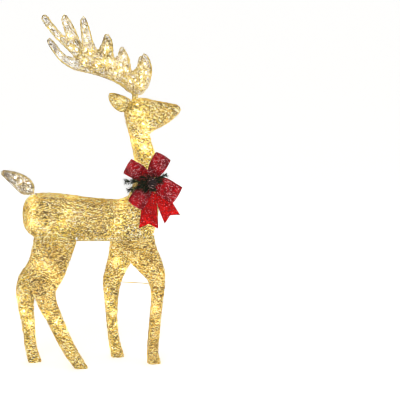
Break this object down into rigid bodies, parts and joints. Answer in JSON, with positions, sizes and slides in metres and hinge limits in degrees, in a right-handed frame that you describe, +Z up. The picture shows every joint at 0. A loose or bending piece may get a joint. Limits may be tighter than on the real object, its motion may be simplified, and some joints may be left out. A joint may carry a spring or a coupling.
{
  "type": "lighted yard reindeer",
  "caption": "Standing lighted wire-frame buck with thread-wrapped limbs, antlers, tail and a ribbon bow; its legs fold outward and its neck and antlers lift off.",
  "frame": {"origin": "on the ground under the middle of the bounding box", "axes": "+Z up, +X toward the head, +Y to the buck's left"},
  "size_m": [0.7802, 0.2797, 1.5122],
  "materials": {
    "thread": "open wrap of glittering gold plastic thread, lit from inside",
    "tip_thread": "sparser champagne thread with brown flecks",
    "frame_wire": "gold painted welded wire",
    "hardware": "gold-toned steel wire and tube",
    "light_cord": "clear cord with warm white lamps",
    "ribbon": "red glitter ribbon",
    "needles": "dark green artificial needles",
    "cone": "brown pinecone with pale scale tips"
  },
  "bodies": {
    "torso": {"torso_wrap": "thread", "torso_frame": "frame_wire", "torso_light_string": "light_cord", "hinge_rod_right": "hardware", "hinge_rod_left": "hardware", "neck_socket": "hardware", "tail_hinge_rod": "hardware"},
    "neck": {"antler_socket_left": "hardware", "antler_socket_right": "hardware", "bow_knot": "ribbon", "bow_loop_lower_left": "ribbon", "bow_loop_lower_right": "ribbon", "bow_loop_upper_left": "ribbon", "bow_loop_upper_right": "ribbon", "bow_tail_left": "ribbon", "bow_tail_right": "ribbon", "bow_tie_wire": "hardware", "ear_left_frame": "frame_wire", "ear_left_wrap": "thread", "ear_right_frame": "frame_wire", "ear_right_wrap": "thread", "head_frame": "frame_wire", "head_wrap": "thread", "neck_frame": "frame_wire", "neck_light_string": "light_cord", "neck_plug": "hardware", "neck_wrap": "thread", "pine_sprig_left": "needles", "pine_sprig_right": "needles", "pinecone": "cone"},
    "antler_right": {"antler_right_frame": "frame_wire", "antler_right_light_string": "light_cord", "antler_right_peg": "hardware", "antler_right_wrap": "tip_thread"},
    "antler_left": {"antler_left_frame": "frame_wire", "antler_left_light_string": "light_cord", "antler_left_peg": "hardware", "antler_left_wrap": "tip_thread"},
    "tail": {"tail_wrap": "tip_thread", "tail_frame": "frame_wire", "tail_light_string": "light_cord", "tail_hinge_sleeve": "hardware"},
    "leg_rear_right": {"leg_rear_right_frame": "frame_wire", "leg_rear_right_hinge_sleeve": "hardware", "leg_rear_right_light_string": "light_cord", "leg_rear_right_wrap": "thread"},
    "leg_rear_left": {"leg_rear_left_frame": "frame_wire", "leg_rear_left_hinge_sleeve": "hardware", "leg_rear_left_light_string": "light_cord", "leg_rear_left_wrap": "thread"},
    "leg_front_right": {"leg_front_right_frame": "frame_wire", "leg_front_right_hinge_sleeve": "hardware", "leg_front_right_light_string": "light_cord", "leg_front_right_wrap": "thread", "brace_pin": "hardware"},
    "leg_front_left": {"leg_front_left_frame": "frame_wire", "leg_front_left_hinge_sleeve": "hardware", "leg_front_left_light_string": "light_cord", "leg_front_left_wrap": "thread"},
    "brace": {"front_brace": "hardware"}
  },
  "joints": [
    {"name": "leg_rear_right_fold", "type": "hinge", "parent": "torso", "child": "leg_rear_right", "pos_m": [-0.183, -0.0821, 0.56465], "axis": [-0.9993, 0, 0.0375], "range_deg": [0, 95]},
    {"name": "leg_rear_left_fold", "type": "hinge", "parent": "torso", "child": "leg_rear_left", "pos_m": [-0.158, 0.1297, 0.56371], "axis": [0.9993, 0, -0.0375], "range_deg": [0, 95]},
    {"name": "leg_front_right_fold", "type": "hinge", "parent": "torso", "child": "leg_front_right", "pos_m": [0.172, -0.0821, 0.55134], "axis": [-0.9993, 0, 0.0375], "range_deg": [0, 95]},
    {"name": "leg_front_left_fold", "type": "hinge", "parent": "torso", "child": "leg_front_left", "pos_m": [0.153, 0.1297, 0.55205], "axis": [0.9993, 0, -0.0375], "range_deg": [0, 95]},
    {"name": "brace_swing", "type": "hinge", "parent": "leg_front_right", "child": "brace", "pos_m": [0.252, -0.0194, 0.349], "axis": [0.5977, 0.8017, 0], "range_deg": [0, 80]},
    {"name": "neck_lift", "type": "slide", "parent": "torso", "child": "neck", "axis": [0, 0, 1], "range_m": [0, 0.085]},
    {"name": "antler_right_lift", "type": "slide", "parent": "neck", "child": "antler_right", "axis": [0, -0.2079, 0.9781], "range_m": [0, 0.045]},
    {"name": "antler_left_lift", "type": "slide", "parent": "neck", "child": "antler_left", "axis": [0, 0.2079, 0.9781], "range_m": [0, 0.045]},
    {"name": "tail_fold", "type": "hinge", "parent": "torso", "child": "tail", "pos_m": [-0.2425, 0.0238, 0.7505], "axis": [0, 1, 0], "range_deg": [0, 70]}
  ]
}
